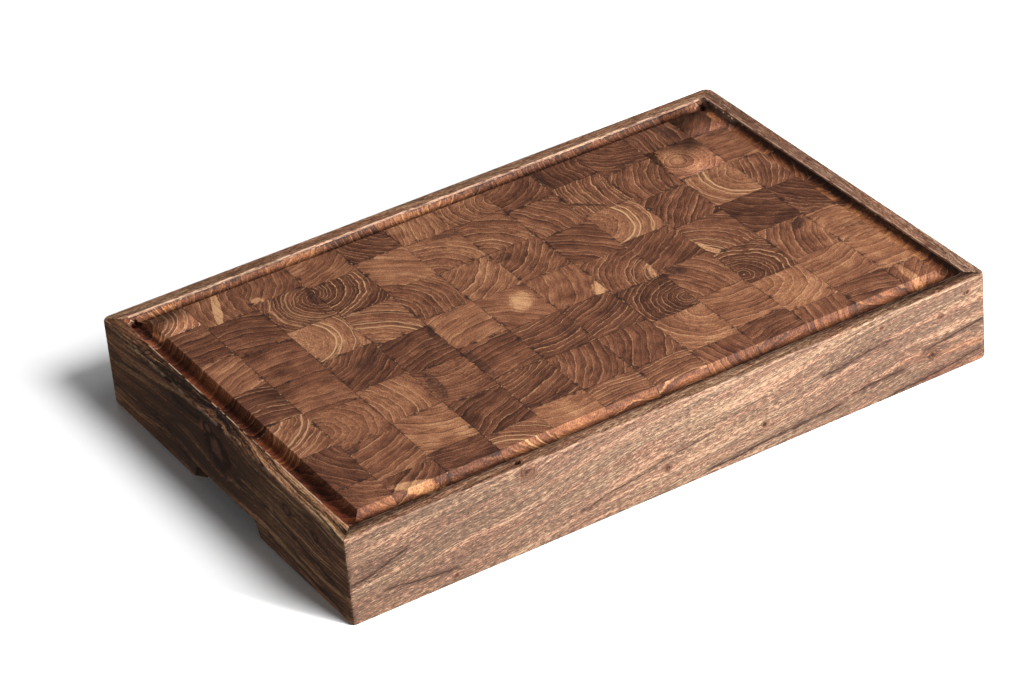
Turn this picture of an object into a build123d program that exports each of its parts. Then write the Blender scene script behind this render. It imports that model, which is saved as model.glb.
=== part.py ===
"""End-grain butcher block: a panel of upright wooden blocks inside a mitred frame of long-grain rails.

Frame of reference: millimetres, +X along the length, +Y to the back, +Z up.
The origin is at the middle of the underside, on the surface that the board stands on.
"""

from build123d import *
import math
import os

# Overall size
board_length = 450.0
board_width = 300.0
board_height = 60.0

# Frame: four rails on edge, mitred at the corners
rail_thickness = 10.0
corner_radius = 6.0  # upright outer corners, worn round
crisp_corner_radius = 3.0  # the front-left one, which has kept its edge
top_arris_radius = 1.2
bottom_arris_radius = 2.0

# Loose tongue glued across each mitre, hidden inside the rails
spline_thickness = 2.5
spline_width = 7.0
spline_bottom = 6.0
spline_top = 50.0
spline_inset = 5.8  # from each outer face to the tongue's centre

# Panel: strips side by side along X, each one a row of blocks along Y
strip_count = 12
blocks_per_strip = 7
block_pitch = 41.5
first_joint = -104.8  # the frontmost glue line of a strip that isn't shifted
# How far each strip was slid towards the front before gluing, so that the glue lines don't meet
strip_shifts = [0.0, 6.5, 0.5, 5.5, -1.5, 0.0, 0.0, 5.5, 0.0, 6.0, 0.5, 2.5]

# Juice groove: the track of a round-nosed cutter, beside the rails
groove_inset = 15.8  # outer face of the board to the groove's centre line
groove_depth = 5.0
groove_radius = 6.35

# Finger recess under each end: a pocket, with a mouth that flares to the outer face
recess_height = 11.5
recess_depth = 22.0
recess_half_roof = 32.3
pocket_roof_radius = 4.5
pocket_corner_radius = 9.0
mouth_depth = 5.5
mouth_end_run = 13.2  # length of the S-shaped rise at each end of the mouth

panel_length = board_length - 2 * rail_thickness
panel_width = board_width - 2 * rail_thickness
strip_width = panel_length / strip_count
tool_overrun = 20.0  # how far a cutter starts outside the wood


def outer_envelope():
    """The sanded outside of the finished board, as one block."""
    body = Pos(0, 0, board_height / 2) * Box(board_length, board_width, board_height)
    upright = body.edges().filter_by(Axis.Z).sort_by(lambda edge: edge.center().X + edge.center().Y)
    body = fillet(upright[1:], corner_radius)
    upright = body.edges().filter_by(Axis.Z).sort_by(lambda edge: edge.center().X + edge.center().Y)
    body = fillet(upright[0], crisp_corner_radius)
    body = fillet(body.edges().group_by(Axis.Z)[-1], top_arris_radius)
    return fillet(body.edges().group_by(Axis.Z)[0], bottom_arris_radius)


def groove_cutter():
    """What the round-nosed cutter sweeps: four straight runs that meet in a ball at each corner."""
    centre_height = board_height - groove_depth + groove_radius
    half_x = board_length / 2 - groove_inset
    half_y = board_width / 2 - groove_inset
    along_x = Rot(0, 90, 0) * Cylinder(groove_radius, 2 * half_x)
    along_y = Rot(90, 0, 0) * Cylinder(groove_radius, 2 * half_y)
    cutter = Pos(0, -half_y, centre_height) * along_x
    cutter += Pos(0, half_y, centre_height) * along_x
    cutter += Pos(-half_x, 0, centre_height) * along_y
    cutter += Pos(half_x, 0, centre_height) * along_y
    for x in (-half_x, half_x):
        for y in (-half_y, half_y):
            cutter += Pos(x, y, centre_height) * Sphere(groove_radius)
    return cutter


def mouth_outline():
    """The recess on the outer face: a flat roof that falls to the floor in an S-curve at each end."""
    turn = 2 * math.atan2(recess_height, mouth_end_run)
    radius = recess_height / (2 * (1 - math.cos(turn)))
    side = radius * math.sin(turn / 2)
    drop = radius * (1 - math.cos(turn / 2))
    floor_end = recess_half_roof + mouth_end_run
    knee = (recess_half_roof + mouth_end_run / 2, recess_height / 2)
    upper = (recess_half_roof + side, recess_height - drop)
    lower = (floor_end - side, drop)
    return recess_outline(knee, upper, lower, floor_end)


def pocket_outline():
    """The recess further in: upright ends that meet the roof in a quarter round."""
    radius = pocket_roof_radius
    wall = recess_half_roof + radius
    sagitta = radius * (1 - math.sin(math.pi / 4))
    knee = (wall, recess_height - radius)
    upper = (wall - sagitta, recess_height - sagitta)
    return recess_outline(knee, upper, None, wall)


def on_side(point, sign):
    """The point itself, or its mirror image when sign is -1."""
    return (sign * point[0], point[1])


def recess_outline(knee, upper, lower, floor_end):
    """A face in the plane of the board's end, the same at both ends.

    From the roof an arc runs through upper to the knee. Below it a second arc through lower,
    or a straight wall if lower is None, reaches the floor at floor_end.
    """
    roof_end = (recess_half_roof, recess_height)
    floor_line = (floor_end, 0)
    below = (floor_end, -tool_overrun)
    with BuildLine(Plane.YZ) as outline:
        for sign in (1, -1):
            ThreePointArc(on_side(roof_end, sign), on_side(upper, sign), on_side(knee, sign))
            if lower is None:
                Line(on_side(knee, sign), on_side(floor_line, sign))
            else:
                ThreePointArc(on_side(knee, sign), on_side(lower, sign), on_side(floor_line, sign))
            Line(on_side(floor_line, sign), on_side(below, sign))
        Line(on_side(roof_end, -1), roof_end)
        Line(on_side(below, -1), below)
    return make_face(outline.line)


def recess_cutter(side):
    """The wood taken out under one end: side is -1 for the left end and +1 for the right."""
    end = board_length / 2
    pocket = extrude(pocket_outline(), amount=recess_depth - mouth_depth, dir=(1, 0, 0))
    pocket = Pos(-end + mouth_depth, 0, 0) * pocket
    inner_end = pocket.edges().filter_by(Axis.Z).group_by(Axis.X)[-1]
    pocket = fillet(inner_end, pocket_corner_radius)
    outer_face = Pos(-end, 0, 0) * mouth_outline()
    inner_face = Pos(-end + mouth_depth, 0, 0) * pocket_outline()
    mouth = loft([outer_face, inner_face], ruled=True)
    outside = extrude(outer_face, amount=tool_overrun, dir=(-1, 0, 0))
    cutter = pocket + mouth + outside
    if side > 0:
        cutter = Rot(0, 0, 180) * cutter
    return cutter


def mitre_wedge(length, width):
    """The share of the frame that belongs to the front rail: the ground between the two front mitres."""
    half_length = length / 2
    front = -width / 2
    reach = tool_overrun
    corners = [
        (-half_length - reach, front - reach),
        (half_length + reach, front - reach),
        (half_length - rail_thickness, front + rail_thickness),
        (-half_length + rail_thickness, front + rail_thickness),
    ]
    return extrude(make_face(Polyline(*corners, close=True)), amount=board_height)


def spline_at(corner_x, corner_y):
    """The tongue in one mitre, set square across the joint."""
    x = corner_x * (board_length / 2 - spline_inset)
    y = corner_y * (board_width / 2 - spline_inset)
    turn = -45.0 * corner_x * corner_y
    height = spline_top - spline_bottom
    tongue = Box(spline_width, spline_thickness, height)
    return Pos(x, y, (spline_bottom + spline_top) / 2) * Rot(0, 0, turn) * tongue


def joint_lines(strip):
    """The glue lines between the blocks of a strip, from the front of the panel to the back."""
    start = first_joint - strip_shifts[strip]
    inner = [start + block_pitch * k for k in range(blocks_per_strip - 1)]
    return [-panel_width / 2] + inner + [panel_width / 2]


def strip_blocks(strip, board):
    """The upright blocks of one strip, each its own solid, cut to the board's finished surface."""
    lines = joint_lines(strip)
    x = -panel_length / 2 + strip_width * (strip + 0.5)
    blocks = []
    for front, back in zip(lines, lines[1:]):
        blank = Box(strip_width, back - front, board_height)
        blocks += (Pos(x, (front + back) / 2, board_height / 2) * blank & board).solids()
    return blocks


def write(name, solids):
    """One sub-part to its own file, its solids kept separate."""
    shape = solids[0] if len(solids) == 1 else Compound(children=list(solids))
    shape.label = name
    export_step(shape, f"parts/{name}.step")


os.makedirs("parts", exist_ok=True)

board = outer_envelope() - groove_cutter() - recess_cutter(-1) - recess_cutter(1)

splines = {
    "mitre_spline_front_left": spline_at(-1, -1),
    "mitre_spline_front_right": spline_at(1, -1),
    "mitre_spline_back_left": spline_at(-1, 1),
    "mitre_spline_back_right": spline_at(1, 1),
}
for name, spline in splines.items():
    write(name, [spline])

front_wedge = mitre_wedge(board_length, board_width)
end_wedge = mitre_wedge(board_width, board_length)
wedges = {
    "front_rail": front_wedge,
    "back_rail": Rot(0, 0, 180) * front_wedge,
    "left_rail": Rot(0, 0, -90) * end_wedge,
    "right_rail": Rot(0, 0, 90) * end_wedge,
}
for name, wedge in wedges.items():
    rail = board & wedge
    for spline in splines.values():
        rail -= spline
    write(name, rail.solids())

for strip in range(strip_count):
    write(f"end_grain_strip_{strip + 1:02d}", strip_blocks(strip, board))
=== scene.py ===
# %% [markdown]
# # An end-grain butcher block in Blender
# The board is a panel of upright wooden blocks, glued side by side so that the knife meets the
# ends of the fibres, inside a mitred frame of four rails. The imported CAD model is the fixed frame:
# it has the right size and the right joints. Here it gets edges, wood, wear and light.

# %% Load the frame
import bpy
import math
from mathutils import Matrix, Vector, noise as random_noise


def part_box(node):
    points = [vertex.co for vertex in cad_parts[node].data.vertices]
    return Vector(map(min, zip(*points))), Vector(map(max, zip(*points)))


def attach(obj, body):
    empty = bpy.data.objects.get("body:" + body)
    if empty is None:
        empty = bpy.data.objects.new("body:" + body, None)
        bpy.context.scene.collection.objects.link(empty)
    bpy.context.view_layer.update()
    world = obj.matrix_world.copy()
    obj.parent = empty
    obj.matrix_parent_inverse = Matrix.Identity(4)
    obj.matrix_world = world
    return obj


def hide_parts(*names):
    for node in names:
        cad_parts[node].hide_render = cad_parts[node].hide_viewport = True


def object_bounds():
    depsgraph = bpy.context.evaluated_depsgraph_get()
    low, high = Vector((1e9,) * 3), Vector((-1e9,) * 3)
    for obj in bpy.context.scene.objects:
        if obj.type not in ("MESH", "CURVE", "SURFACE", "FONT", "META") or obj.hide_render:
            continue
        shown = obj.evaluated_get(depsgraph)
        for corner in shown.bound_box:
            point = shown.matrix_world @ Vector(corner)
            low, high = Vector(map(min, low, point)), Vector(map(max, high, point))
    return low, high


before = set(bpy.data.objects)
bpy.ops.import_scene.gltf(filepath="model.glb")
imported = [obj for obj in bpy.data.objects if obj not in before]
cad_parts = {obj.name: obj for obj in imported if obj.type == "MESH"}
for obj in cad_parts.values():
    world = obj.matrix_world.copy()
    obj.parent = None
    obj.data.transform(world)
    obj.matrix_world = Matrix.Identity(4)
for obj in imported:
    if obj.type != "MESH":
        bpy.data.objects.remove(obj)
cad_low, cad_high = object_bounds()
MM = 0.001  # metres in a millimetre
board_length, board_width, board_height = ((cad_high - cad_low) / MM)
strip_names = sorted(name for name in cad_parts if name.startswith("end_grain_strip"))
rail_names = sorted(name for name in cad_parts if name.endswith("_rail"))
spline_names = sorted(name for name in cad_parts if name.startswith("mitre_spline"))
print("board", [round(v, 1) for v in (board_length, board_width, board_height)], "mm")

# %% [markdown]
# ## Small tools
# Blender's operators act on everything that is selected, so each step starts by selecting one
# object alone. A copy of a CAD node is welded first, because its triangles come in loose, and then
# its flat faces are joined, so that a bevel finds real edges and not the cuts between triangles.

# %% Tools for shapes
def only(obj):
    """Make obj the one selected and active object."""
    bpy.ops.object.select_all(action="DESELECT")
    obj.select_set(True)
    bpy.context.view_layer.objects.active = obj
    return obj


def copy_of(node, name):
    """A separate object with its own copy of a CAD node's mesh, not yet tied to a body."""
    obj = bpy.data.objects.new(name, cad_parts[node].data.copy())
    obj.data.name = name
    bpy.context.scene.collection.objects.link(obj)
    return obj


def weld(obj, flat=0.6):
    """Drop stray points, merge the loose triangles and join the ones that lie in one plane.

    flat is how many degrees two faces may differ and still count as one plane.
    """
    only(obj)
    bpy.context.tool_settings.mesh_select_mode = (True, False, False)
    bpy.ops.object.mode_set(mode="EDIT")
    bpy.ops.mesh.select_all(action="SELECT")
    bpy.ops.mesh.delete_loose(use_verts=True, use_edges=True, use_faces=False)
    bpy.ops.mesh.remove_doubles(threshold=0.002 * MM)
    bpy.ops.mesh.dissolve_limited(angle_limit=math.radians(flat))
    bpy.ops.object.mode_set(mode="OBJECT")
    return obj


def apply_modifier(obj, kind, **values):
    """Add a modifier, give it its values and apply it."""
    only(obj)
    modifier = obj.modifiers.new(kind.title(), kind)
    for key, value in values.items():
        setattr(modifier, key, value)
    bpy.ops.object.modifier_apply(modifier=modifier.name)
    return obj


def ease_edges(obj, width, segments=2, sharper_than=40):
    """Round every edge that turns by more than an angle, and shade the rest smooth."""
    apply_modifier(obj, "BEVEL", width=width * MM, segments=segments, limit_method="ANGLE",
                   angle_limit=math.radians(sharper_than), use_clamp_overlap=True)
    only(obj)
    bpy.ops.object.shade_smooth_by_angle(angle=math.radians(35))
    return obj


def finish_piece(obj, material, slot, *nodes):
    """Give a piece its material, tie it to the board and hide the CAD nodes that it stands for."""
    obj.data.materials.clear()
    obj.data.materials.append(material)
    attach(obj, "root")
    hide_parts(*nodes)


# %% [markdown]
# ## Writing node trees
# A material is a small programme made of nodes. `Tree` makes one node per call, sets its values
# and joins its inputs at the same time, so that a pattern reads from top to bottom like a sum.

# %% Tools for materials
class Tree:
    """A node tree that is written one node to a call."""

    def __init__(self, nodes_and_links):
        self.tree = nodes_and_links

    def set(self, socket, value):
        if isinstance(value, bpy.types.NodeSocket):
            self.tree.links.new(value, socket)
        elif value is not None:
            socket.default_value = value

    def add(self, kind, *values, inputs=None, **options):
        """A node of that kind. Positional values go to its inputs in order, and None skips one."""
        node = self.tree.nodes.new("ShaderNode" + kind)
        for key, value in options.items():
            setattr(node, key, value)
        for socket, value in zip(node.inputs, values):
            self.set(socket, value)
        for key, value in (inputs or {}).items():
            self.set(node.inputs[key], value)
        return node

    def sum(self, operation, a, b=None, c=None):
        return self.add("Math", a, b, c, operation=operation).outputs[0]

    def vector(self, operation, a, b=None):
        node = self.add("VectorMath", a, b, operation=operation)
        return node.outputs["Value" if operation in ("LENGTH", "DOT_PRODUCT") else "Vector"]

    def scaled(self, vector, factor):
        node = self.add("VectorMath", vector, operation="SCALE")
        self.set(node.inputs["Scale"], factor)
        return node.outputs["Vector"]

    def split(self, vector):
        return self.add("SeparateXYZ", vector).outputs

    def join(self, x=0.0, y=0.0, z=0.0):
        return self.add("CombineXYZ", x, y, z).outputs[0]

    def noise(self, vector, scale=1.0, detail=2.0, roughness=0.5):
        """Smooth noise from 0 to 1, 0.5 on average."""
        return self.add("TexNoise", inputs={"Vector": vector, "Scale": scale, "Detail": detail,
                                            "Roughness": roughness}).outputs["Fac"]

    def rise(self, value, start, end, low=0.0, high=1.0):
        """low before start, high after end, and an S-curve between."""
        node = self.add("MapRange", interpolation_type="SMOOTHSTEP", inputs={
            "Value": value, "From Min": start, "From Max": end, "To Min": low, "To Max": high})
        return node.outputs["Result"]

    def fall(self, value, start, end):
        return self.rise(value, start, end, 1.0, 0.0)

    def mix(self, factor, a, b, blend="MIX"):
        node = self.add("Mix", data_type="RGBA", blend_type=blend)
        for socket, value in zip((node.inputs[0], node.inputs[6], node.inputs[7]), (factor, a, b)):
            self.set(socket, value)
        return node.outputs[2]

    def ramp(self, value, *stops):
        """A colour ramp with stops of (place, colour)."""
        node = self.add("ValToRGB", value)
        elements = node.color_ramp.elements
        while len(elements) < len(stops):
            elements.new(1.0)
        for element, (place, shade) in zip(elements, stops):
            element.position, element.color = place, shade
        return node.outputs["Color"]

    def group(self, name, **values):
        """Place a node group. A space in an input's name is written as an underscore."""
        node = self.tree.nodes.new("ShaderNodeGroup")
        node.node_tree = bpy.data.node_groups[name]
        for key, value in values.items():
            self.set(node.inputs[key.replace("_", " ")], value)
        return node.outputs

    def own(self, name):
        """A number or a vector that each piece carries with it as a custom property."""
        return self.add("Attribute", attribute_type="OBJECT", attribute_name=name).outputs


def new_group(name, *outputs, **inputs):
    """An empty shader group: the names of the numbers it puts out, and its inputs with defaults."""
    made = bpy.data.node_groups.new(name, "ShaderNodeTree")
    for key, default in inputs.items():
        kind = "NodeSocketVector" if isinstance(default, tuple) else "NodeSocketFloat"
        socket = made.interface.new_socket(key.replace("_", " "), in_out="INPUT", socket_type=kind)
        socket.default_value = default
    for key in outputs:
        made.interface.new_socket(key, in_out="OUTPUT", socket_type="NodeSocketFloat")
    tree = Tree(made)
    start = made.nodes.new("NodeGroupInput")
    end = made.nodes.new("NodeGroupOutput")
    return tree, start.outputs, end.inputs


def paint(red, green, blue):
    """A colour as a paint chart gives it, 0 to 255, in the linear light that a shader mixes."""
    def linear(level):
        level = level / 255
        return level / 12.92 if level <= 0.04045 else ((level + 0.055) / 1.055) ** 2.4
    return (linear(red), linear(green), linear(blue), 1.0)


def new_material(name):
    """A material with a Principled BSDF, its tree, and the piece's own place in millimetres."""
    material = bpy.data.materials.new(name)
    material.use_nodes = True
    tree = Tree(material.node_tree)
    shader = material.node_tree.nodes["Principled BSDF"]
    place = tree.scaled(tree.add("TexCoord").outputs["Object"], 1 / MM)
    return material, tree, shader, place


# %% [markdown]
# ## Growth rings
# Teak grows a pale, porous line each spring and a dense brown band after it. Seen from the end of
# the trunk these are rings round the pith, and a block shows only the piece of them that its
# place in the trunk gave it. The group below takes a place measured from the pith. It bends the
# radius with slow noise, counts rings of uneven width, and gives back the pale line at the start
# of each ring, the dark edge at its end and the fine streaks that follow it. The rings don't
# change with height, so the sides of a block show them as straight upright grain, as sawn wood does.

# %% Group: growth rings
tree, start, end = new_group(
    "Growth Rings", "Pale", "Dark", "Age", "Streak", "Ring",
    Place=(0.0, 0.0, 0.0), Step=5.0, Seed=0.0)
seed_shift = tree.join(start["Seed"], start["Seed"], 0.0)
place = tree.vector("ADD", start["Place"], seed_shift)
across = tree.vector("MULTIPLY", start["Place"], (1.0, 1.0, 0.0))
length = tree.vector("LENGTH", across)
slow = tree.noise(tree.vector("MULTIPLY", place, (0.05, 0.05, 0.008)), detail=1.0)
quick = tree.noise(tree.vector("MULTIPLY", place, (0.26, 0.26, 0.02)), detail=3.0, roughness=0.6)
bent = tree.sum("MULTIPLY_ADD", slow, 7.0, length)
bent = tree.sum("MULTIPLY_ADD", quick, 2.2, bent)
turns = tree.sum("DIVIDE", bent, start["Step"])
uneven = tree.noise(tree.join(tree.sum("MULTIPLY", turns, 0.6), start["Seed"]), detail=1.0)
turns = tree.sum("MULTIPLY_ADD", uneven, 1.5, turns)
ring = tree.sum("FLOOR", turns)
age = tree.sum("FRACT", turns)
chance = tree.add("TexWhiteNoise", tree.join(ring, start["Seed"]), noise_dimensions="3D").outputs["Value"]
grown = tree.sum("MULTIPLY", age, start["Step"])
broken = tree.rise(tree.noise(tree.vector("MULTIPLY", place, (0.3, 0.3, 0.02)), detail=2.0), 0.32, 0.55)
pale = tree.fall(tree.sum("ABSOLUTE", tree.sum("SUBTRACT", grown, 0.35)), 0.05, 0.38)
pale = tree.sum("MULTIPLY", pale, tree.rise(chance, 0.0, 0.8, 0.15, 1.0))
tree.set(end["Pale"], tree.sum("MULTIPLY", pale, broken))
left_over = tree.sum("SUBTRACT", start["Step"], grown)
dark = tree.sum("MAXIMUM", tree.fall(left_over, 0.1, 0.5),
                tree.sum("MULTIPLY", tree.fall(left_over, 0.0, 1.8), 0.55))
tree.set(end["Dark"], tree.sum("MULTIPLY", dark, tree.rise(chance, 0.9, 0.1, 0.25, 1.0)))
tree.set(end["Age"], age)
tree.set(end["Ring"], chance)
heading = tree.scaled(tree.vector("NORMALIZE", across), 7.0)
streak_place = tree.vector("ADD", heading, tree.join(0.0, 0.0, tree.sum("MULTIPLY", bent, 0.62)))
tree.set(end["Streak"], tree.noise(streak_place, detail=3.0, roughness=0.7))
print("group", tree.tree.name, "with", len(tree.tree.nodes), "nodes")

# %% [markdown]
# ## Knots and veins
# Where a branch left the trunk, the grain parts and flows round it like water round a stone.
# `Knot` gives the same answer as that flow: how far the grain is lifted, the eye itself, the ring
# of dark bark round it and the reddish halo of dense wood outside. `Vein` is a dark line from one
# place to another, as mineral streaks and gum lines run along a rail, with a wandering path and a
# ragged width.

# %% Groups: knot and vein
tree, start, end = new_group(
    "Knot", "Lift", "Eye", "Bark", "Halo",
    Place=(0.0, 0.0, 0.0), Centre=(0.0, 0.0, 0.0), Depth=0.15, Size=4.0)
away = tree.vector("SUBTRACT", start["Place"], start["Centre"])
x, y, z = tree.split(away)
away = tree.join(tree.sum("MULTIPLY", x, 0.75), tree.sum("MULTIPLY", y, start["Depth"]), z)
wobble = tree.noise(tree.scaled(start["Place"], 0.4), detail=2.0)
reach = tree.sum("DIVIDE", tree.vector("LENGTH", away), start["Size"])
reach = tree.sum("MULTIPLY_ADD", wobble, 0.5, tree.sum("SUBTRACT", reach, 0.25))
uneven = tree.noise(tree.scaled(start["Place"], 0.09), detail=3.0)
reach = tree.sum("MULTIPLY_ADD", uneven, 1.6, tree.sum("SUBTRACT", reach, 0.8))
reach_squared = tree.sum("MULTIPLY_ADD", reach, reach, 0.35)
tree.set(end["Lift"], tree.sum("DIVIDE", tree.sum("MULTIPLY", z, -1.0), reach_squared))
crumbs = tree.rise(tree.noise(tree.scaled(start["Place"], 0.55), detail=3.0), 0.30, 0.56, 0.35, 1.0)
tree.set(end["Eye"], tree.sum("MULTIPLY", tree.fall(reach, 0.3, 0.75), crumbs))
tree.set(end["Bark"], tree.fall(tree.sum("ABSOLUTE", tree.sum("SUBTRACT", reach, 0.85)), 0.10, 0.40))
tree.set(end["Halo"], tree.fall(reach, 0.6, 2.4))
print("group", tree.tree.name)

tree, start, end = new_group(
    "Vein", "Vein",
    Place=(0.0, 0.0, 0.0), From=(0.0, 0.0, 0.0), To=(1.0, 0.0, 0.0), Width=1.0)
run = tree.vector("SUBTRACT", start["To"], start["From"])
away = tree.vector("SUBTRACT", start["Place"], start["From"])
wander = tree.noise(tree.vector("MULTIPLY", start["Place"], (0.03, 0.02, 0.05)), detail=3.0)
along = tree.sum("DIVIDE", tree.vector("DOT_PRODUCT", away, run), tree.vector("DOT_PRODUCT", run, run))
along_inside = tree.add("Clamp", along).outputs[0]
gap = tree.vector("SUBTRACT", away, tree.scaled(run, along_inside))
gap_z = tree.sum("ADD", tree.split(gap)[2], tree.sum("MULTIPLY_ADD", wander, 7.0, -3.5))
ends = tree.sum("MULTIPLY", tree.sum("SUBTRACT", along, along_inside), tree.vector("LENGTH", run))
distance = tree.vector("LENGTH", tree.join(ends, 0.0, gap_z))
ragged = tree.noise(tree.vector("MULTIPLY", start["Place"], (0.10, 0.12, 0.9)), detail=3.0)
width = tree.sum("MULTIPLY", start["Width"], tree.rise(ragged, 0.3, 0.7, 0.2, 1.4))
share = tree.sum("DIVIDE", distance, width)
core = tree.fall(share, 0.15, 0.75)
shadow = tree.sum("MULTIPLY", tree.fall(share, 0.0, 3.2), 0.55)
tip = tree.rise(tree.sum("MULTIPLY", along, tree.sum("SUBTRACT", 1.0, along)), -0.02, 0.10)
tree.set(end["Vein"], tree.sum("MULTIPLY", tree.sum("MAXIMUM", core, shadow), tip))
print("group", tree.tree.name)

# %% [markdown]
# ## Fibres and pores
# Close up, wood is neither smooth nor evenly coloured. Cut fibres catch the light, and teak's open
# pores show as short dark dashes along the grain, or as dots on its end. One group does both: it
# takes a place whose axes are already stretched along the fibre.

# %% Group: fibres
tree, start, end = new_group(
    "Fibres", "Fibre", "Pores", "Fine",
    Place=(0.0, 0.0, 0.0), Amount_of_Pores=0.5)
tree.set(end["Fibre"], tree.noise(start["Place"], scale=1.0, detail=3.0, roughness=0.65))
tree.set(end["Fine"], tree.noise(start["Place"], scale=2.7, detail=2.0, roughness=0.6))
spots = tree.noise(tree.vector("ADD", start["Place"], (31.0, 17.0, 5.0)), scale=1.35, detail=1.0)
limit = tree.sum("MULTIPLY_ADD", start["Amount of Pores"], -0.12, 0.70)
tree.set(end["Pores"], tree.rise(spots, limit, tree.sum("ADD", limit, 0.07)))
print("group", tree.tree.name)

# %% [markdown]
# ## A spot of another colour
# Sapwood, resin and bark leave pale or dark patches in a block. `Spot` is a soft ellipse with an
# eroded edge, turned to any angle, so one group makes a round blotch and a straight streak alike.

# %% Group: spot
tree, start, end = new_group(
    "Spot", "Spot",
    Place=(0.0, 0.0, 0.0), Centre=(0.0, 0.0, 0.0), Shape=(1.0, 1.0, 0.0), Seed=0.0)
away = tree.vector("SUBTRACT", start["Place"], tree.vector("MULTIPLY", start["Centre"], (1.0, 1.0, 0.0)))
half_length, half_width, turn = tree.split(start["Shape"])
turn_back = tree.sum("MULTIPLY", turn, -math.pi / 180)
rotation = tree.add("VectorRotate", rotation_type="Z_AXIS", inputs={"Vector": away, "Angle": turn_back})
turned = rotation.outputs[0]
x, y, z = tree.split(turned)
shares = tree.join(tree.sum("DIVIDE", x, half_length), tree.sum("DIVIDE", y, half_width))
reach = tree.vector("LENGTH", shares)
eroded = tree.noise(tree.vector("ADD", tree.scaled(start["Place"], 0.35), tree.join(start["Seed"])),
                    detail=4.0, roughness=0.7)
reach = tree.sum("MULTIPLY_ADD", eroded, 0.9, tree.sum("SUBTRACT", reach, 0.45))
softness = tree.sum("POWER", tree.sum("DIVIDE", half_width, 13.0), 2.0)  # a wide spot fades further
tree.set(end["Spot"], tree.fall(reach, tree.sum("SUBTRACT", 0.92, softness), 1.08))
print("group", tree.tree.name)

# %% [markdown]
# ## The end-grain material
# All 84 blocks share one material. What makes each block itself travels with the piece as custom
# properties: where its pith lay, the width, paleness and darkness of its rings, its tone, its
# middle and its half size, and one pale and one dark spot.
#
# What use does to the wood comes after that. Juice has stained the groove. Painted shade darkens
# the left groove further and makes the groove's wall beside the right rail near-black. At each seam
# there are dark smudges that creep in from it, a thin dark line of glue, and crumbs of pale dust
# caught in the joint.

# %% Material: end grain
end_grain, tree, shader, place = new_material("end_grain_teak")
tone, seed = tree.own("tone")["Fac"], tree.own("seed")["Fac"]
step, pale_amount, dark_amount = tree.split(tree.own("rings")["Vector"])
seed_place = tree.vector("ADD", place, tree.join(seed, seed))
from_centre = tree.vector("SUBTRACT", place, tree.own("centre")["Vector"])
from_pith = tree.vector("SUBTRACT", from_centre, tree.own("pith")["Vector"])
rings = tree.group("Growth Rings", Place=from_pith, Step=tree.sum("MULTIPLY", step, 0.8), Seed=seed)
fibre_place = tree.vector("MULTIPLY", place, (1.25, 1.25, 0.10))
fibres = tree.group("Fibres", Place=fibre_place, Amount_of_Pores=0.8)
mottle = tree.noise(tree.vector("MULTIPLY", seed_place, (0.08, 0.08, 0.01)), detail=2.0)

value = tree.sum("MULTIPLY_ADD", tone, 0.8, 0.09)
value = tree.sum("MULTIPLY_ADD", tree.sum("SUBTRACT", rings["Age"], 0.5), -0.16, value)
for part, amount in ((rings["Streak"], 0.85), (fibres["Fibre"], 1.05), (fibres["Fine"], 0.5),
                     (mottle, 0.5), (rings["Ring"], 0.14)):
    value = tree.sum("MULTIPLY_ADD", tree.sum("SUBTRACT", part, 0.5), amount, value)
pale_spot = tree.own("pale_spot")["Vector"]
pale_shape = tree.own("pale_shape")["Vector"]
spot = tree.group("Spot", Place=from_centre, Centre=pale_spot, Shape=pale_shape, Seed=seed)
pale_patch = tree.sum("MULTIPLY", spot["Spot"], tree.split(pale_spot)[2])
value = tree.sum("MULTIPLY_ADD", pale_patch, 0.45, value)
wood = tree.ramp(value, (0.0, paint(44, 25, 18)), (0.26, paint(84, 50, 36)), (0.5, paint(124, 79, 58)),
                 (0.74, paint(162, 110, 79)), (1.0, paint(208, 160, 118)))
wood = tree.mix(tree.sum("MULTIPLY", rings["Dark"], dark_amount), wood, paint(50, 29, 22))
wood = tree.mix(tree.sum("MULTIPLY", rings["Pale"], pale_amount), wood, paint(202, 158, 118))
accent_radius, accent_amount, accent_gap = tree.split(tree.own("accent")["Vector"])
bend = tree.noise(tree.vector("MULTIPLY", seed_place, (0.05, 0.05, 0.01)), detail=2.0)
radius = tree.vector("LENGTH", tree.vector("MULTIPLY", from_pith, (1.0, 1.0, 0.0)))
off_accent = tree.sum("SUBTRACT", tree.sum("MULTIPLY_ADD", bend, 5.0, radius), accent_radius)
for shift, thickness in ((0.0, 0.7), (1.0, 0.5), (3.3, 0.3)):
    gap = tree.sum("ABSOLUTE", tree.sum("MULTIPLY_ADD", accent_gap, -shift, off_accent))
    line = tree.sum("MULTIPLY", tree.fall(gap, 0.45 * thickness, 1.15 * thickness), accent_amount)
    wood = tree.mix(line, wood, paint(206, 164, 122))
dark_spot = tree.own("dark_spot")["Vector"]
dark_shape = tree.own("dark_shape")["Vector"]
spot = tree.group("Spot", Place=from_centre, Centre=dark_spot, Shape=dark_shape, Seed=seed)
mottled = tree.noise(tree.vector("MULTIPLY", seed_place, (0.45, 0.45, 0.04)), detail=4.0, roughness=0.7)
stain = tree.sum("MULTIPLY", spot["Spot"], tree.rise(mottled, 0.36, 0.60, 0.25, 1.0))
wood = tree.mix(tree.sum("MULTIPLY", stain, tree.split(dark_spot)[2]), wood, paint(48, 32, 28))
wood = tree.mix(tree.sum("MULTIPLY", fibres["Pores"], 0.5), wood, paint(58, 35, 27))
soaked = tree.rise(tree.sum("SUBTRACT", board_height, tree.split(place)[2]), 0.2, 1.2)
wood = tree.mix(soaked, wood, tree.mix(1.0, wood, paint(246, 234, 214), "MULTIPLY"))
along_board = tree.split(place)[0]
# The left groove is darkened further: painted shade on the wall there that the key light hardly reaches.
near_left = tree.fall(along_board, -board_length / 2 + 17, -board_length / 2 + 23)
left_groove_painted_shade = tree.sum("MULTIPLY", soaked, near_left)
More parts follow.
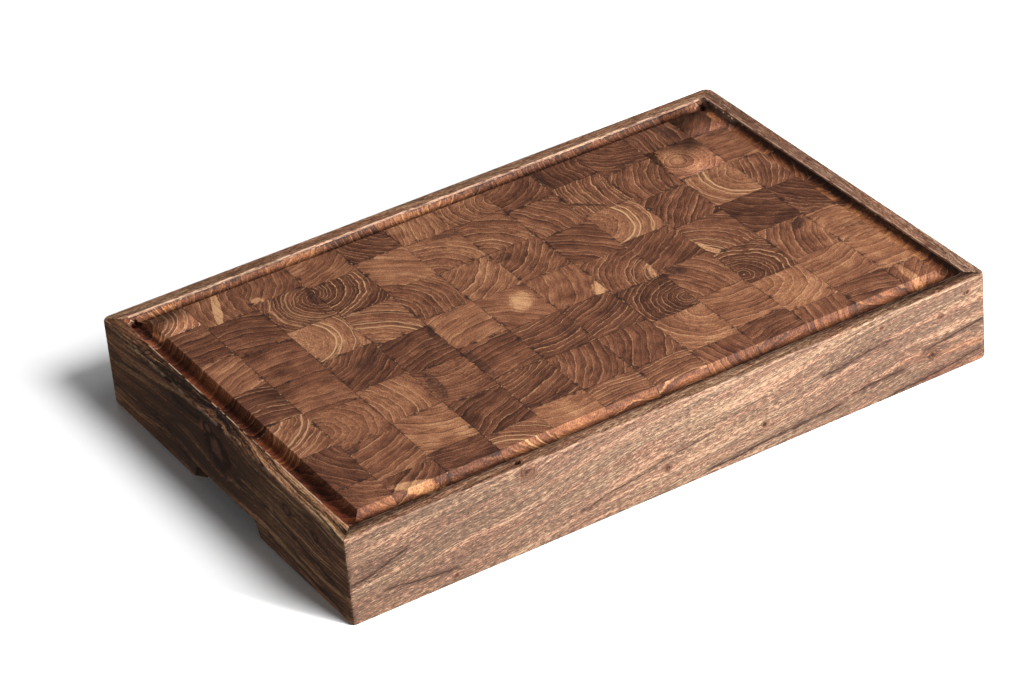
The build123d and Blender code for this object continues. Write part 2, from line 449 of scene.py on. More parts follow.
wood = tree.mix(left_groove_painted_shade, wood, tree.mix(1.0, wood, paint(205, 172, 160), "MULTIPLY"))

to_edges = tree.vector("SUBTRACT", tree.own("half")["Vector"], tree.vector("ABSOLUTE", from_centre))
edge_x, edge_y, _ = tree.split(to_edges)
edge = tree.sum("MINIMUM", edge_x, edge_y)
# Near-black on the groove's wall beside the right rail: painted shade, where that wall faces away from the
# key light.
ragged = tree.noise(tree.scaled(place, 0.16), detail=4.0, roughness=0.7)
ragged = tree.sum("MULTIPLY_ADD", tree.sum("SUBTRACT", ragged, 0.5), 7.0, along_board)
right_wall_painted_shade = tree.rise(ragged, board_length / 2 - 13.5, board_length / 2 - 11.5)
wood = tree.mix(tree.sum("MULTIPLY", right_wall_painted_shade, 0.8), wood, paint(40, 27, 22))
smudge = tree.noise(tree.vector("MULTIPLY", place, (0.13, 0.13, 0.03)), detail=5.0, roughness=0.7)
smudge = tree.fall(tree.sum("MULTIPLY_ADD", edge, 0.035, tree.sum("SUBTRACT", 1.0, smudge)), 0.38, 0.52)
wood = tree.mix(tree.sum("MULTIPLY", smudge, 0.85), wood, paint(46, 29, 24))
glue = tree.sum("MULTIPLY", tree.fall(edge, 0.10, 0.50),
                tree.rise(tree.noise(tree.scaled(place, 0.13), detail=3.0), 0.38, 0.62, 0.1, 1.0))
wood = tree.mix(tree.sum("MULTIPLY", glue, 0.85), wood, paint(34, 20, 16))
dust = tree.sum("MULTIPLY", tree.fall(edge, 0.1, 0.55),
                tree.rise(tree.noise(tree.scaled(place, 0.33)), 0.60, 0.68))
wood = tree.mix(tree.sum("MULTIPLY", dust, 0.6), wood, paint(200, 160, 125))
tree.set(shader.inputs["Base Color"], wood)
roughness = tree.sum("MULTIPLY_ADD", fibres["Fibre"], 0.22, 0.54)
tree.set(shader.inputs["Roughness"], tree.sum("MULTIPLY_ADD", rings["Dark"], -0.06, roughness))
height = tree.sum("MULTIPLY_ADD", fibres["Fine"], 0.5, fibres["Fibre"])
height = tree.sum("MULTIPLY_ADD", rings["Pale"], -0.7, height)
height = tree.sum("MULTIPLY_ADD", fibres["Pores"], -0.5, height)
bump = tree.add("Bump", inputs={"Strength": 0.8, "Distance": 0.15 * MM, "Height": height})
tree.set(shader.inputs["Normal"], bump.outputs["Normal"])
shader.inputs["Specular IOR Level"].default_value = 0.25
print("material", end_grain.name, "with", len(tree.tree.nodes), "nodes")

# %% [markdown]
# ## The rail material
# The rails are long planks, so their grain runs the length of the board. The pattern is written
# once, for a plank with its length, thickness and height, and each rail says which axis is its
# length, where its grain climbs, what colours it has, and where its knots and veins are.
# The grain is a height field that knots push aside; bands, fibres and pores are all drawn along
# it, so they part together round each knot.

# %% Materials: rails
def rail_wood(name, length_axis, sweeps, colours, tints, knots, veins, warm=(), flow=0.5,
              tone_and_shade_stretch=(0, 100, 0), coarse=1.5, figure=1.0, tone=0.5,
              eye=paint(36, 21, 17), bark=0.3, grey=0.08, seed=0.0):
    """The material of one rail.

    sweeps: (from, to, rise) of the grain. knots: (along, across, height, size, depth).
    veins and warm: dark and reddish lines, (along, height, along, height, width).
    flow: how dark the contour lines are. tone_and_shade_stretch: (middle, reach, amount) of a paler
    stretch, or a darker one where amount is negative; the left rail's darker middle is partly painted shade.
    coarse and figure: how strongly the fibres and the broad bands show. tone: how pale it is.
    eye: the colour inside its knots. bark: how dark their rims are. grey: how much of the fifth
    colour goes on the sides below the top: partly weathering, partly painted light.
    """
    material, tree, shader, place = new_material(name)
    x, y, z = tree.split(place)
    along, across = (x, y) if length_axis == "X" else (y, x)
    plank = tree.join(along, across, z)
    shifted = tree.vector("ADD", plank, (seed, seed * 0.7, seed * 0.4))
    slow = tree.noise(tree.vector("MULTIPLY", shifted, (0.010, 0.02, 0.03)), detail=1.0)
    quick = tree.noise(tree.vector("MULTIPLY", shifted, (0.03, 0.06, 0.08)), detail=2.0)
    grain = tree.sum("MULTIPLY_ADD", across, 1.15, z)
    for sweep_from, sweep_to, sweep_rise in sweeps:
        grain = tree.sum("SUBTRACT", grain, tree.rise(along, sweep_from, sweep_to, 0.0, sweep_rise))
    grain = tree.sum("MULTIPLY_ADD", slow, 12.0, grain)
    grain = tree.sum("MULTIPLY_ADD", quick, 2.4, grain)
    eyes, barks, halos = 0.0, 0.0, 0.0
    for u, w, h, size, depth in knots:
        knot = tree.group("Knot", Place=plank, Centre=(u, w, h), Size=size, Depth=depth)
        grain = tree.sum("MULTIPLY_ADD", knot["Lift"], 1.25, grain)
        eyes = tree.sum("MAXIMUM", knot["Eye"], eyes)
        barks = tree.sum("MAXIMUM", knot["Bark"], barks)
        halos = tree.sum("MAXIMUM", knot["Halo"], halos)

    def all_of(runs):
        """The mask of several veins together."""
        mask = 0.0
        for u0, h0, u1, h1, width in runs:
            vein = tree.group("Vein", Place=shifted, From=(u0 + seed, 0, h0 + seed * 0.4),
                              To=(u1 + seed, 0, h1 + seed * 0.4), Width=width)
            mask = tree.sum("MAXIMUM", vein["Vein"], mask)
        return mask

    def drawn_along(length_scale, grain_scale, shift, detail=2.0, roughness=0.6):
        """Noise that is stretched along the grain and turns with it."""
        stretched = tree.join(tree.sum("MULTIPLY", along, length_scale), seed + shift,
                              tree.sum("MULTIPLY", grain, grain_scale))
        return tree.noise(stretched, detail=detail, roughness=roughness)

    dark_lines, warm_lines = all_of(veins), all_of(warm)
    bands = drawn_along(0.006, 0.14, 0.0)
    lines = drawn_along(0.012, 0.50, 9.0, detail=3.0)
    threads = drawn_along(0.045, 1.05, 21.0, detail=2.0)
    fibre_place = tree.join(tree.sum("MULTIPLY", along, 0.24), tree.sum("MULTIPLY", across, 0.6),
                            tree.sum("MULTIPLY", grain, 1.45))
    fibres = tree.group("Fibres", Place=fibre_place, Amount_of_Pores=0.8)
    middle, reach, amount = tone_and_shade_stretch
    from_middle = tree.sum("ABSOLUTE", tree.sum("SUBTRACT", along, middle))
    value = tree.sum("MULTIPLY_ADD", tree.fall(from_middle, 0.0, reach), amount, tone)
    for part, strength in ((bands, 0.8 * figure), (lines, figure), (threads, 0.45 * coarse),
                           (fibres["Fibre"], 1.5 * coarse), (fibres["Fine"], 0.7 * coarse)):
        value = tree.sum("MULTIPLY_ADD", tree.sum("SUBTRACT", part, 0.5), strength, value)
    wood = tree.ramp(value, *zip((0.05, 0.35, 0.62, 0.95), colours[:4]))
    hue = drawn_along(0.010, 0.13, 4.0)
    tint = tree.mix(tree.rise(hue, 0.44, 0.56), *tints)
    wood = tree.mix(0.75, wood, tint, "MULTIPLY")
    warmer = tree.mix(0.8, wood, paint(255, 190, 140), "MULTIPLY")
    wood = tree.mix(tree.sum("MULTIPLY", warm_lines, 0.6), wood, warmer)
    contour = tree.sum("ABSOLUTE", tree.sum("SUBTRACT", bands, 0.5))
    broken = tree.rise(lines, 0.40, 0.56, 0.15, 1.0)
    contour = tree.sum("MULTIPLY", tree.fall(contour, 0.005, 0.04), broken)
    wood = tree.mix(tree.sum("MULTIPLY", contour, flow), wood, colours[0])
    wood = tree.mix(tree.sum("MULTIPLY", fibres["Pores"], 0.6), wood, colours[0])
    # The fifth colour goes on everything more than 2.5 mm below the top: partly weathering, partly painted
    # light, a sheen on the tan rails and shade on the left rail.
    weathering_and_painted_light = tree.rise(tree.sum("SUBTRACT", board_height, z), 0.0, 2.5, 0.0, grey)
    wood = tree.mix(weathering_and_painted_light, wood, colours[4])
    gum = tree.mix(0.5, colours[0], paint(46, 30, 32))
    wood = tree.mix(tree.sum("MULTIPLY", dark_lines, 0.9), wood, gum)
    redder = tree.mix(1.0, wood, paint(215, 165, 150), "MULTIPLY")
    wood = tree.mix(tree.sum("MULTIPLY", halos, 0.4), wood, redder)
    wood = tree.mix(tree.sum("MULTIPLY", barks, bark), wood, colours[0])
    wood = tree.mix(tree.sum("MULTIPLY", eyes, 0.85), wood, eye)

    out = tree.sum("MINIMUM", tree.sum("SUBTRACT", board_length / 2, tree.sum("ABSOLUTE", x)),
                   tree.sum("SUBTRACT", board_width / 2, tree.sum("ABSOLUTE", y)))
    below = tree.sum("SUBTRACT", board_height, z)
    worn = tree.fall(tree.sum("MAXIMUM", out, below), 0.5, 1.7)
    worn = tree.sum("MULTIPLY", worn, tree.rise(tree.noise(tree.scaled(place, 0.12)), 0.35, 0.65))
    wood = tree.mix(tree.sum("MULTIPLY", worn, 0.3), wood, colours[3])
    # A pale, broken line along the top's arris beside the groove: partly chipped wood, partly a painted
    # highlight on the rounded edge.
    off_arris = tree.sum("ABSOLUTE", tree.sum("SUBTRACT", out, 9.4))
    inner = tree.fall(tree.sum("MAXIMUM", off_arris, below), 0.25, 0.75)
    patchy = tree.rise(tree.noise(tree.scaled(place, 0.16), detail=3.0), 0.40, 0.56)
    chips_and_painted_highlight = tree.sum("MULTIPLY", tree.sum("MULTIPLY", inner, patchy), 0.75)
    wood = tree.mix(chips_and_painted_highlight, wood, paint(206, 172, 146))
    tree.set(shader.inputs["Base Color"], wood)
    tree.set(shader.inputs["Roughness"], tree.sum("MULTIPLY_ADD", fibres["Fibre"], 0.25, 0.40))
    height = tree.sum("MULTIPLY_ADD", fibres["Pores"], -1.0, tree.sum("ADD", fibres["Fibre"], fibres["Fine"]))
    height = tree.sum("MULTIPLY_ADD", dark_lines, -0.6, height)
    bump = tree.add("Bump", inputs={"Strength": 0.7, "Distance": 0.15 * MM, "Height": height})
    tree.set(shader.inputs["Normal"], bump.outputs["Normal"])
    shader.inputs["Specular IOR Level"].default_value = 0.35
    print("material", name, "with", len(tree.tree.nodes), "nodes")
    return material


left, right, front, back = -board_length / 2, board_length / 2, -board_width / 2, board_width / 2
# Four colours of the wood, from dark to pale, and a fifth that goes on the sides below the top:
# partly weathering, partly painted light
tan_colours = (paint(58, 36, 27), paint(108, 75, 57), paint(146, 108, 86), paint(206, 173, 146),
               paint(205, 193, 180))
brown_colours = (paint(17, 10, 8), paint(76, 53, 40), paint(134, 102, 80), paint(190, 160, 134),
                 paint(98, 72, 58))
tan_tints = (paint(250, 230, 216), paint(232, 228, 212))
# The right rail's greyer, pinker tint is partly its own colour and partly a painted sheen.
pink_and_sheen_tints = (paint(244, 228, 226), paint(226, 222, 226))
brown_tints = (paint(246, 212, 182), paint(242, 232, 200))
rail_materials = {
    "front_rail": rail_wood(
        "rail_teak_front", "X", [(left + 10, left + 270, 30), (left + 210, right + 30, 22)],
        tan_colours, tan_tints,
        # The knot at left + 118, front + 5 lies round the pit cut further down: its dark eye there is partly
        # the dead knot's wood and partly painted shade in the hole.
        knots=[(left + 121, front, 54.6, 3.6, 0.5), (left + 118, front + 5, 61, 3.2, 1.0),
               (left + 69.5, front, 5.5, 1.5, 0.2), (left + 216, front, 17.7, 2.0, 0.2),
               (left + 284.5, front, 19.5, 1.5, 0.2), (left + 371, front, 52, 1.1, 0.2),
               (left + 435, front, 52.6, 2.0, 0.2), (left + 415, front, 42.8, 1.2, 0.2),
               (left + 408, front, 18, 2.4, 0.2)],
        veins=[(left, 27, left + 42, 38, 1.9), (left + 235, 3.5, left + 347, 12, 2.6),
               (left + 325, 35, left + 380, 42, 2.2), (left + 398, 22, left + 450, 31, 1.9),
               (left + 372, 1, left + 450, 10, 1.7), (left + 20, 16, left + 75, 9, 1.2),
               (left + 345, 15, left + 390, 17, 2.0), (left + 150, 12, left + 250, 30, 1.0)],
        warm=[(left + 395, 4, left + 450, 1, 8.0), (left + 380, 22, left + 450, 14, 5.0)],
        flow=0.6, tone_and_shade_stretch=(10, 190, 0.14), coarse=1.8, figure=1.15, tone=0.49, seed=0.0),
    "left_rail": rail_wood(
        "rail_teak_left", "Y", [(-150, 30, 8), (40, 150, -6)], brown_colours, brown_tints,
        knots=[(4, left, 40, 10.5, 0.1), (12, left, 51, 4.0, 0.1), (-82, left, 44, 3.4, 0.1),
               (-115, left, 43, 2.6, 0.1), (96, left + 5, 60, 2.0, 0.6)],
        veins=[(147, 16, 77, 21, 2.2), (77, 21, 42, 11, 2.2), (-15, 28, -60, 31, 1.6),
               (-60, 31, -150, 18, 1.8), (60, 50, 20, 52, 2.0), (-40, 53, -60, 52, 1.4),
               (-45, 12, -148, 3, 2.6)],
        warm=[(-50, 6, -130, 3, 5.0), (140, 8, 60, 8, 7.0)],
        # Its darker middle is partly the wood's own colour and partly painted shade, and its fifth colour
        # evens out and darkens its sides as painted shade.
        flow=1.0, tone_and_shade_stretch=(30, 110, -0.42), coarse=1.0, figure=1.8, tone=0.58,
        eye=paint(100, 72, 60), bark=0.6, grey=0.35, seed=40.0),
    "right_rail": rail_wood(
        "rail_teak_right", "Y", [(-150, 150, 18)], tan_colours, pink_and_sheen_tints,
        knots=[(-62, right, 22, 4.0, 0.2), (88, right, 36, 2.4, 0.2), (30, right - 5, 60, 1.8, 0.6)],
        veins=[(-150, 40, -60, 31, 1.8), (-10, 12, 110, 20, 1.8), (60, 48, 146, 44, 1.4)],
        tone=0.54, seed=75.0),
    "back_rail": rail_wood(
        "rail_teak_back", "X", [(left, right, -40)], tan_colours, tan_tints,
        knots=[(-120, back, 31, 3.6, 0.2), (64, back, 18, 2.0, 0.2), (150, back, 44, 2.8, 0.2)],
        veins=[(-225, 22, -90, 34, 1.8), (-20, 9, 120, 16, 2.0), (90, 40, 222, 52, 1.6)],
        tone=0.57, seed=120.0),
}
spline_wood = rail_wood("spline_teak", "Y", [], brown_colours, brown_tints, knots=[], veins=[], seed=160.0)

# %% [markdown]
# ## The blocks
# Each CAD strip holds seven separate blocks. Their meshes touch, so welding the whole strip would
# fuse them. Instead the faces of one block at a time are selected and separated: a face belongs to
# the block in which a point just under its surface lies. After that each block is welded, its
# edges are eased by a fraction of a millimetre, and the seams become real fine grooves.
#
# A glue-up like this is made from long planks cut into slices, and every other slice is turned
# over. That is why some strips repeat others as mirror images, and the grain is written that way:
# a row is (pith x, pith y, ring width, tone, pale lines, dark lines), measured from the middle of
# the block in millimetres, from the back of the strip to the front.

# %% Grain of each strip
planks = {
    1: [(-18, 7, 5, .56, .9, .3), (6, -100, 7, .34, .2, .9), (43, -101, 7, .60, .5, .4),
        (-13, -100, 6, .26, .8, .6), (-27, 41, 5.5, .56, 1, .4), (71, 37, 6, .32, .3, .9),
        (35, 45, 5.5, .44, .3, .7)],
    2: [(58, -13, 6, .52, .4, .5), (-20, -60, 6, .38, .3, .9), (0, -120, 9, .42, .1, .3),
        (-10, -70, 9, .48, .3, .4), (-18, 2, 6, .54, .3, .5), (-25, 70, 6, .50, .7, .4),
        (-40, 60, 6, .36, .5, .7)],
    3: [(-70, 30, 5, .48, .4, .4), (18, 2, 3.5, .40, .7, .5), (-23.5, 6, 5.5, .72, .5, .3),
        (-60, 86, 4.5, .36, .4, .8), (-50, -5, 5, .66, .8, .3), (25, 60, 6, .70, .3, .6),
        (10, 90, 5, .32, .2, .5)],
    4: [(-45, 77, 5, .62, .6, .3), (-22, 16, 3.5, .30, 1, .4), (-32, -41, 5, .56, .8, .4),
        (25, -100, 6, .28, .5, .6), (5, 40, 5, .46, .4, .5), (40, -95, 6, .27, .6, .8),
        (-30, -40, 5, .55, .5, .4)],
    5: [(45, 25, 5, .30, .6, .8), (-70, -90, 8, .66, .15, .4), (-40, -8, 5, .48, .6, .5),
        (25, -95, 6, .60, .4, .4), (15, -95, 7, .40, .5, .9), (-30, 80, 5, .36, .7, .7),
        (5, 50, 9, .68, .3, .15)],
    6: [(-90, 20, 3.5, .66, .4, .3), (-18, -22, 6, .60, .9, .5), (-40, 45, 5.5, .60, .7, .5),
        (-60, -70, 8, .55, .2, .3), (-10, 70, 4.5, .38, 1, .7), (-60, 30, 6, .46, .5, .7),
        (0, -80, 3.5, .52, .8, .4)],
    7: [(20, -5, 4, .56, .7, .4), (-20, -22, 6, .50, .9, .5), (-38, 42, 5.5, .48, .7, .6),
        (-80, 35, 9, .60, .2, .4), (-35, 75, 5, .38, .9, .7), (-70, 35, 6, .44, .5, .7),
        (5, -80, 3.5, .48, .8, .4)],
    8: [(-20, 25, 5, .36, .3, .6), (-55, -20, 4.5, .48, .6, .7), (-75, -75, 5, .40, .4, .7),
        (28, -22, 5, .44, .7, .5), (15, -10, 4, .28, .8, .5), (16, 17, 6, .68, .8, .3),
        (90, 20, 7, .46, .3, 1)],
    9: [(100, 0, 5, .36, .4, .9), (80, -10, 3.5, .48, .8, .4), (-23, 6, 5.5, .66, .5, .3),
        (-60, 86, 6, .34, .3, .7), (-45, -20, 5, .56, .5, .6), (15, 80, 6, .62, .6, .7),
        (20, -95, 6, .40, .3, .5)],
    12: [(-70, 40, 6, .32, .1, .4), (0, 80, 9, .58, .1, .5), (-75, 35, 4.5, .44, .8, .4),
         (50, 45, 5, .28, .5, .7), (0, -60, 6, .68, .2, .6), (0, 60, 8, .66, .2, .3),
         (30, -30, 6, .44, .4, .7)],
}


def turned_over(plank):
    """The same plank with its slices turned over, so that left and right change places."""
    return [(-pith_x, *rest) for pith_x, *rest in plank]


planks[10] = turned_over(planks[8])
planks[11] = turned_over(planks[9])
planks[11][1] = (-5, 0, 5, .58, .4, .6)
planks[11][3] = (40, 45, 6, .24, .3, .7)
print("blocks described:", sum(len(plank) for plank in planks.values()))

# %% [markdown]
# ## Marks on single blocks
# Some blocks have a mark of their own: a few bright rings, a pale patch of sapwood or a dark stain.
# Each is set by strip and row. The rings are (radius, strength, spacing), and a spot is (middle x,
# middle y, strength, half length, half width, turn), in millimetres and degrees.

# %% Marks of single blocks
bright_rings = {(3, 3): (30, .95, 3.6), (9, 3): (30, 1, 3.6), (11, 3): (30, .9, 3.6),
                (4, 3): (49.5, .8, 4.5), (4, 7): (49.5, .8, 4.5), (8, 4): (20, .5, 3.0),
                (10, 4): (20, .8, 3.0), (1, 1): (24, .6, 4.0), (1, 5): (52, .7, 4.0),
                (3, 2): (24, .35, 3.0)}
pale_spots = {(2, 1): (-3, -7, 1, 21, 2.8, 69), (3, 1): (-15, -18, 1, 7, 5, 60),
              (2, 7): (-2, -2, 1, 17, 4.5, -24), (6, 4): (6, 3, .9, 14, 10, 60),
              (7, 4): (15, -14, .9, 9, 5, 60), (8, 4): (15, -12, .8, 9, 1.6, 78),
              (10, 4): (-15, -12, .9, 12, 2.4, 104), (12, 7): (-9, 0, .6, 18, 3, 90),
              (11, 2): (-7, 4, .5, 11, 8, 90), (5, 7): (0, 4, .3, 16, 12, 0),
              (4, 1): (0, 13, .8, 15, 3, 0), (12, 1): (12, 3, .4, 10, 3, 90),
              (12, 4): (12, -2, .7, 11, 3, 90)}
dark_spots = {(9, 2): (-9, -9, .9, 14, 1.6, -42), (9, 5): (-9, 14, .8, 8, 5, -50),
              (11, 5): (9, 14, .8, 8, 5, 50), (4, 5): (-12, 3, .75, 17, 4, 84),
              (4, 4): (16, 8, .7, 9, 3, 90), (2, 6): (-15, 15, .7, 6, 4, 20),
              (11, 1): (8, 0, .6, 16, 5, 100), (5, 5): (-15, 0, .6, 18, 3, 90),
              (9, 1): (-15, 0, .8, 18, 3, 90), (3, 4): (8, 6, .5, 14, 5, 35),
              (7, 3): (-11, 12, .7, 6, 5, 30), (12, 2): (2, 17, .7, 13, 2.5, 0),
              (5, 6): (6, -17, .8, 9, 2, 12), (6, 2): (10, 16, .5, 10, 3, -10),
              (8, 1): (0, -18, .7, 8, 1.6, 0), (10, 1): (2, -18, .8, 9, 1.8, 0),
              (7, 5): (10, 2, .3, 7, 5, 0), (12, 5): (2, -8, .5, 12, 3, -20),
              (6, 5): (12, 0, .5, 8, 5, 70), (3, 2): (15, 6, .8, 12, 2, 80),
              (1, 1): (-12, 4, .85, 13, 4, 90), (12, 1): (12, 13, .9, 6, 5, 0),
              (4, 1): (7, 13, .85, 9, 1.6, 20), (2, 7): (-12, -12, .7, 6, 3, 60)}
print("marked blocks:", len(set(bright_rings) | set(pale_spots) | set(dark_spots)))

# %% Separate the blocks
joint_area = 500  # square millimetres, less than the smallest joint between two blocks
faces_back = 0.999  # the least y of a normal that points straight back


def back_faces(mesh):
    """The y of every block's back face: the planes that face +Y and are big enough to be a joint."""
    area = {}
    for face in mesh.polygons:
        if face.normal.y > faces_back:
            y = round(face.center.y / MM, 1)
            area[y] = area.get(y, 0) + face.area / MM ** 2
    return sorted((y for y, total in area.items() if total > joint_area), reverse=True)


def split_strip(node, strip):
    """Seven welded blocks, from back to front."""
    source = copy_of(node, f"block_{strip:02d}")
    bpy.context.tool_settings.mesh_select_mode = (False, False, True)
    blocks = []
    inside = 0.05 * MM  # how far under a face its block is looked for
    for row, back_y in enumerate(back_faces(source.data)[1:] + [None], start=1):
        if back_y is None:
            block = source
        else:
            for face in source.data.polygons:
                face.select = (face.center - face.normal * inside).y > back_y * MM
            only(source)
            bpy.ops.object.mode_set(mode="EDIT")
            bpy.ops.mesh.separate(type="SELECTED")
            bpy.ops.object.mode_set(mode="OBJECT")
            block = next(obj for obj in bpy.context.selected_objects if obj is not source)
        block.name = block.data.name = f"block_{strip:02d}_{row}"
        blocks.append(block)
    return [weld(block) for block in blocks]


blocks = {}
for strip, node in enumerate(strip_names, start=1):
    for row, block in enumerate(split_strip(node, strip), start=1):
        blocks[strip, row] = block
print("separated", len(blocks), "blocks from", len(strip_names), "strips")

# %% Finish the blocks
no_ring = (0, 0, 0)
no_spot = (0, 0, 0, 1, 1, 0)
endless = 1000.0  # the half height, so that top and bottom never count as a seam
for (strip, row), block in blocks.items():
    ease_edges(block, 0.16, segments=1)
    corners = [vertex.co / MM for vertex in block.data.vertices]
    low = Vector([min(c[axis] for c in corners) for axis in range(3)])
    high = Vector([max(c[axis] for c in corners) for axis in range(3)])
    pith_x, pith_y, step, tone, pale, dark = planks[strip][row - 1]
    block["centre"] = [*((low + high) / 2).xy, 0.0]
    block["half"] = [*((high - low) / 2).xy, endless]
    block["pith"] = [float(pith_x), float(pith_y), 0.0]
    block["rings"] = [float(step), float(pale), float(dark)]
    block["tone"] = float(tone)
    block["seed"] = strip * 37.3 + row * 11.7
    radius, strength, gap = bright_rings.get((strip, row), no_ring)
    block["accent"] = [float(radius), float(strength), float(gap)]
    for kind, spots in (("pale", pale_spots), ("dark", dark_spots)):
        x, y, strength, half_length, half_width, turn = spots.get((strip, row), no_spot)
        block[kind + "_spot"] = [float(x), float(y), float(strength)]
        block[kind + "_shape"] = [float(half_length), float(half_width), float(turn)]
    finish_piece(block, end_grain, "end_grain_wood", strip_names[strip - 1])
print("blocks finished, the first has", len(blocks[1, 1].data.polygons), "faces")

# %% [markdown]
# ## Rails and splines
# The rails keep their CAD shape, with every edge eased, and the one beside the juice groove worn
# rounder than the rest. The splines are hidden inside the mitres, so the CAD pieces stay as they
# are and get wood of their own.

# %% Finish the rails and the splines
def wear_groove_arris(rail, width):
    """Round the long edge between a rail's top and the juice groove more than the other edges."""
    nearest, furthest = 9.0, 9.95  # the edge lies between these distances from the board's side
    mesh = rail.data
    weights = mesh.attributes.new("bevel_weight_edge", "FLOAT", "EDGE")
    top = board_height - 0.05
    for edge in mesh.edges:
        ends = [mesh.vertices[index].co / MM for index in edge.vertices]
        from_side = [min(board_length / 2 - abs(end.x), board_width / 2 - abs(end.y)) for end in ends]
        on_arris = all(nearest < gap < furthest for gap in from_side)
        if on_arris and all(end.z > top for end in ends):
            weights.data[edge.index].value = 1.0
    return apply_modifier(rail, "BEVEL", width=width * MM, segments=3, limit_method="WEIGHT",
                          use_clamp_overlap=True)


rails = {name: weld(copy_of(name, name.replace("_rail", "_rail_board"))) for name in rail_names}
for name, rail in rails.items():
    wear_groove_arris(rail, 0.8)
    ease_edges(rail, 0.25, segments=2)
    finish_piece(rail, rail_materials[name], "rail_wood", name)
for name in spline_names:
    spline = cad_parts[name]
    spline.data.materials.clear()
    spline.data.materials.append(spline_wood)
print("rails", sorted(rail.name for rail in rails.values()), "splines", len(spline_names))

# %% [markdown]
# ## Pits and cracks
# Wood has faults that no maker can glue away: a dead knot that fell out of the front rail, splinters
# torn out of two corners of the juice groove by the router, and a drying crack near the heart of
# one block. Each is cut with a lumpy pebble: a small sphere, pushed about with noise and taken away
# with a boolean.

# %% Cutting a pit
def cut_pit(obj, middle, size, turn=0.0, lumpiness=0.25, seed=1):
    """Take a lumpy ellipsoid out of obj. Middle and size are in millimetres, turn in degrees about Z."""
    bpy.ops.object.select_all(action="DESELECT")
    bpy.ops.mesh.primitive_ico_sphere_add(subdivisions=3, radius=1.0)
    pebble = bpy.context.object
    for vertex in pebble.data.vertices:
        lump = random_noise.noise(vertex.co * 1.7 + Vector((seed, seed * 0.3, 0)))
        vertex.co *= 1 + lumpiness * lump
    pebble.scale = [s * MM for s in size]
    pebble.rotation_euler.z = math.radians(turn)
    pebble.location = [m * MM for m in middle]
    bpy.ops.object.transform_apply(location=True, rotation=True, scale=True)
    apply_modifier(obj, "BOOLEAN", object=pebble, operation="DIFFERENCE", solver="EXACT")
    bpy.data.objects.remove(pebble)


cut_pit(rails["front_rail"], (left + 118, front + 5.4, board_height), (2.9, 2.3, 6.5), seed=3)
groove_inset, groove_floor = 15.5, 55.5
corner_x, corner_y = right - groove_inset, back - groove_inset
cut_pit(blocks[1, 1], (-corner_x + 0.5, corner_y + 1.5, groove_floor), (3.6, 5.0, 4.2),
        turn=20, lumpiness=0.6, seed=5)
cut_pit(blocks[12, 1], (corner_x - 0.5, corner_y + 1.5, groove_floor), (4.4, 4.2, 4.0),
        turn=-30, lumpiness=0.6, seed=8)
strip_low, strip_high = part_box(strip_names[10])
crack_x = ((strip_low + strip_high) / 2 / MM).x
cut_pit(blocks[11, 2], (crack_x - 12, 100.5, board_height), (0.55, 5.2, 2.4), turn=8, lumpiness=0.5, seed=2)
pitted = [rails["front_rail"], blocks[1, 1], blocks[12, 1], blocks[11, 2]]
print("pits cut in", [piece.name for piece in pitted])

# %% [markdown]
# ## Floor, light and camera
# The board stands on a plain white floor. The main light is a large softbox low on the right of
# the front, which rakes over the top so that the groove and the seams cast small shadows, and
# leaves the left side dark. A weaker one behind keeps the back from going black, but is kept out
# of reflections, and one on the left lights the wood alone. The floor has its own lights: a sun, so
# that it is white with only a soft shadow at the board's foot, and a weak fill from the left. It
# doesn't bounce light back up on the dark side.

# %% Floor
bpy.ops.object.select_all(action="DESELECT")
bpy.ops.mesh.primitive_plane_add(size=16.0, location=(0, 0, 0))
floor = bpy.context.object
floor.name = "floor"
floor_paint, tree, shader, place = new_material("floor_paint")
cloudy = tree.noise(tree.scaled(place, 0.002))
tree.set(shader.inputs["Base Color"], tree.mix(cloudy, paint(250, 250, 250), paint(253, 253, 253)))
shader.inputs["Roughness"].default_value = 1.0
shader.inputs["Specular IOR Level"].default_value = 0.0
floor.data.materials.append(floor_paint)
floor.visible_diffuse = False
floor.visible_glossy = False
floor_only = bpy.data.collections.new("lit by the floor lights")
floor_only.objects.link(floor)
board_only = bpy.data.collections.new("lit by the side light")
for piece in [*blocks.values(), *rails.values()]:
    board_only.objects.link(piece)
print("floor", [round(v, 1) for v in floor.dimensions], "m")

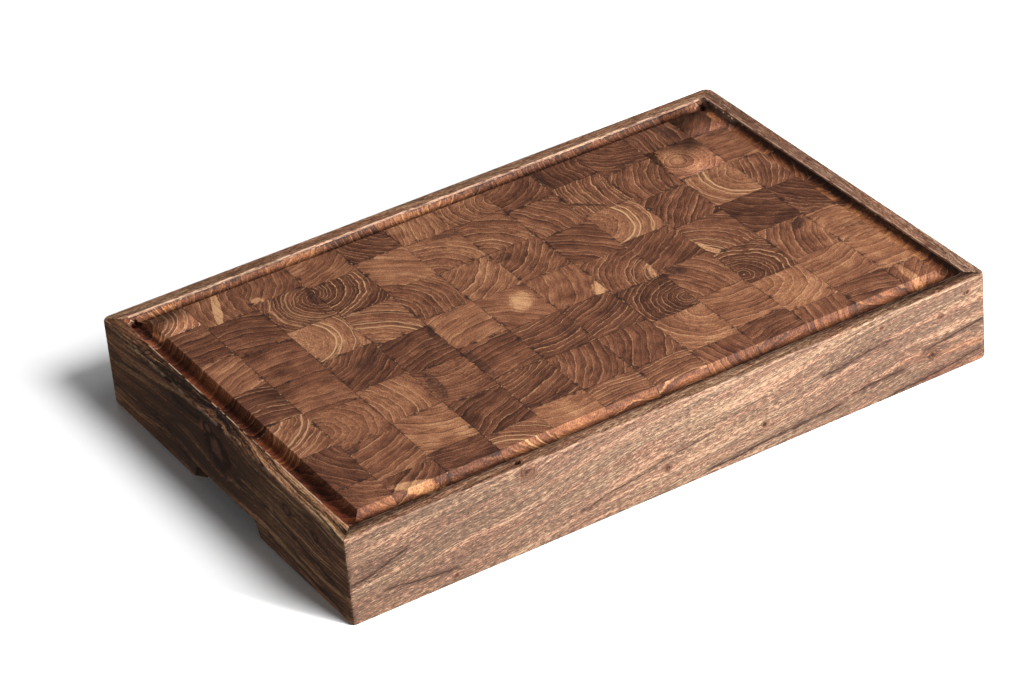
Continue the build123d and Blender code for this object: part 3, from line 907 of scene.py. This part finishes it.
# %% Lights
def softbox(name, azimuth, elevation, distance, size, power, tint=(1, 1, 1)):
    """A square light that faces the middle of the board. Azimuth 0 is in front, 90 on the right."""
    a, e = math.radians(azimuth), math.radians(elevation)
    away = Vector((math.cos(e) * math.sin(a), -math.cos(e) * math.cos(a), math.sin(e)))
    light = bpy.data.lights.new(name, "AREA")
    light.shape, light.size, light.energy, light.color = "SQUARE", size, power, tint
    lamp = bpy.data.objects.new(name, light)
    lamp.location = away * distance
    lamp.rotation_euler = away.to_track_quat("Z", "Y").to_euler()
    bpy.context.scene.collection.objects.link(lamp)
    return lamp


softbox("key_light", 27, 23, 2.4, 0.55, 128, (1.0, 0.975, 0.945))
back_light = softbox("back_light", 168, 14, 2.6, 1.0, 9, (0.95, 0.97, 1.0))
back_light.visible_glossy = False
left_light = softbox("left_light", -78, 14, 2.4, 1.2, 18, (1.0, 0.96, 0.90))
left_light.light_linking.receiver_collection = board_only
softbox("top_light", 40, 66, 2.4, 1.6, 13)
floor_fill = softbox("floor_fill", -84, 14, 2.4, 1.2, 6, (1.0, 0.98, 0.95))
floor_fill.light_linking.receiver_collection = floor_only
sun = bpy.data.lights.new("floor_light", "SUN")
sun.energy, sun.angle = 3.6, math.radians(22)
sun_lamp = bpy.data.objects.new("floor_light", sun)
sun_lamp.rotation_euler = Vector((0.39, -0.95, 1.0)).to_track_quat("Z", "Y").to_euler()
sun_lamp.light_linking.receiver_collection = floor_only
bpy.context.scene.collection.objects.link(sun_lamp)
world = bpy.data.worlds.new("studio")
world.use_nodes = True
background = world.node_tree.nodes["Background"]
background.inputs["Color"].default_value = (0.95, 0.97, 1.0, 1.0)
background.inputs["Strength"].default_value = 0.05
bpy.context.scene.world = world
bpy.context.scene.view_settings.view_transform = "Standard"

# %% Camera
camera = bpy.data.objects.new("camera", bpy.data.cameras.new("camera"))
camera.data.lens, camera.data.sensor_width = 144.559, 36.0
camera.location = (-1.04549, -1.85212, 1.37394)
camera.rotation_euler = [math.radians(v) for v in (57.576, 4.576, -31.814)]
bpy.context.scene.collection.objects.link(camera)
bpy.context.scene.camera = camera
print("camera at", [round(v, 3) for v in camera.location])
